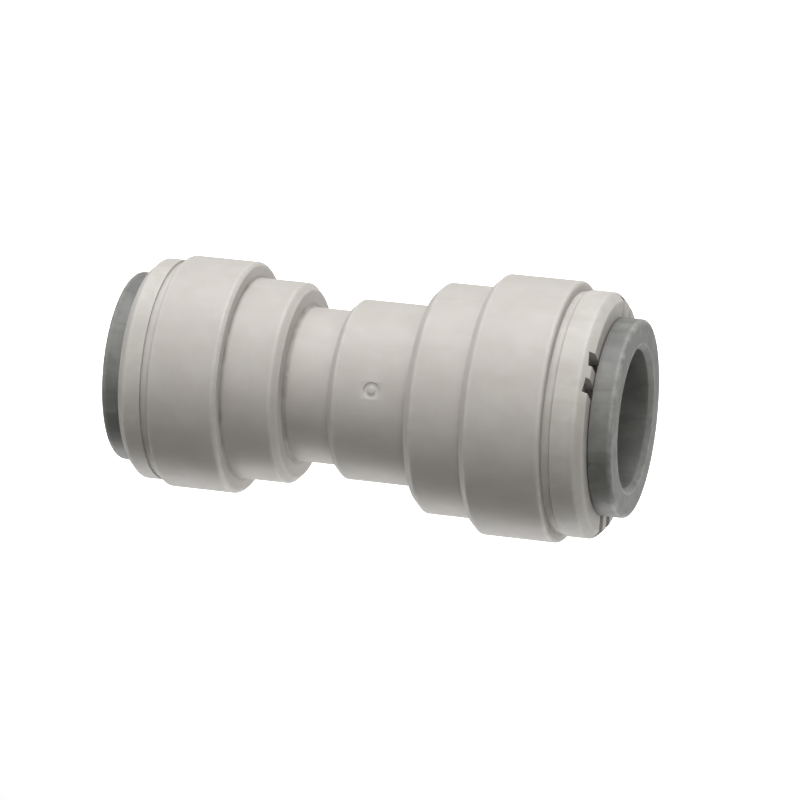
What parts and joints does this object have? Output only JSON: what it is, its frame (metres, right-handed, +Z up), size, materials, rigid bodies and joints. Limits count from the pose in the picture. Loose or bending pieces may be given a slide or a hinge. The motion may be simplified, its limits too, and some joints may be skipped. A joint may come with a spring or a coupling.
{
  "type": "push fit coupling",
  "caption": "Straight reducing push-fit coupling: a stepped plastic body with a sealed socket and a sliding, fingered collet at each end, for plastic tube.",
  "frame": {"origin": "on the coupling's axis, halfway between the outer faces of the two collets when both are pushed in", "axes": "+X along the coupling's axis, towards the large socket; +Z up; the gate mark on the barrel faces the front, -Y, and a little up"},
  "size_m": [0.049, 0.0242, 0.0242],
  "materials": {
    "body_plastic": "satin light grey acetal",
    "cap_plastic": "satin light grey acetal",
    "collet_plastic": "satin dark grey acetal",
    "washer_plastic": "natural white acetal",
    "seal_rubber": "matte black nitrile",
    "tooth_steel": "bright stainless"
  },
  "bodies": {
    "coupling": {"body": "body_plastic", "large_cap": "cap_plastic", "large_o_ring": "seal_rubber", "small_cap": "cap_plastic", "small_o_ring": "seal_rubber"},
    "large_washer": {"large_washer": "washer_plastic"},
    "large_collet": {"large_collet": "collet_plastic", "large_tooth_1": "tooth_steel", "large_tooth_2": "tooth_steel", "large_tooth_3": "tooth_steel", "large_tooth_4": "tooth_steel", "large_tooth_5": "tooth_steel", "large_tooth_6": "tooth_steel", "large_tooth_7": "tooth_steel", "large_tooth_8": "tooth_steel"},
    "small_washer": {"small_washer": "washer_plastic"},
    "small_collet": {"small_collet": "collet_plastic", "small_tooth_1": "tooth_steel", "small_tooth_2": "tooth_steel", "small_tooth_3": "tooth_steel", "small_tooth_4": "tooth_steel", "small_tooth_5": "tooth_steel", "small_tooth_6": "tooth_steel", "small_tooth_7": "tooth_steel", "small_tooth_8": "tooth_steel"}
  },
  "joints": [
    {"name": "large_collet_turn", "type": "hinge", "parent": "coupling", "child": "large_washer", "pos_m": [0.0108, 0, 0], "axis": [1, 0, 0], "continuous": true},
    {"name": "large_collet_slide", "type": "slide", "parent": "large_washer", "child": "large_collet", "axis": [1, 0, 0], "range_m": [0, 0.0015]},
    {"name": "small_collet_turn", "type": "hinge", "parent": "coupling", "child": "small_washer", "pos_m": [-0.01275, 0, 0], "axis": [-1, 0, 0], "continuous": true},
    {"name": "small_collet_slide", "type": "slide", "parent": "small_washer", "child": "small_collet", "axis": [-1, 0, 0], "range_m": [0, 0.0015]}
  ]
}
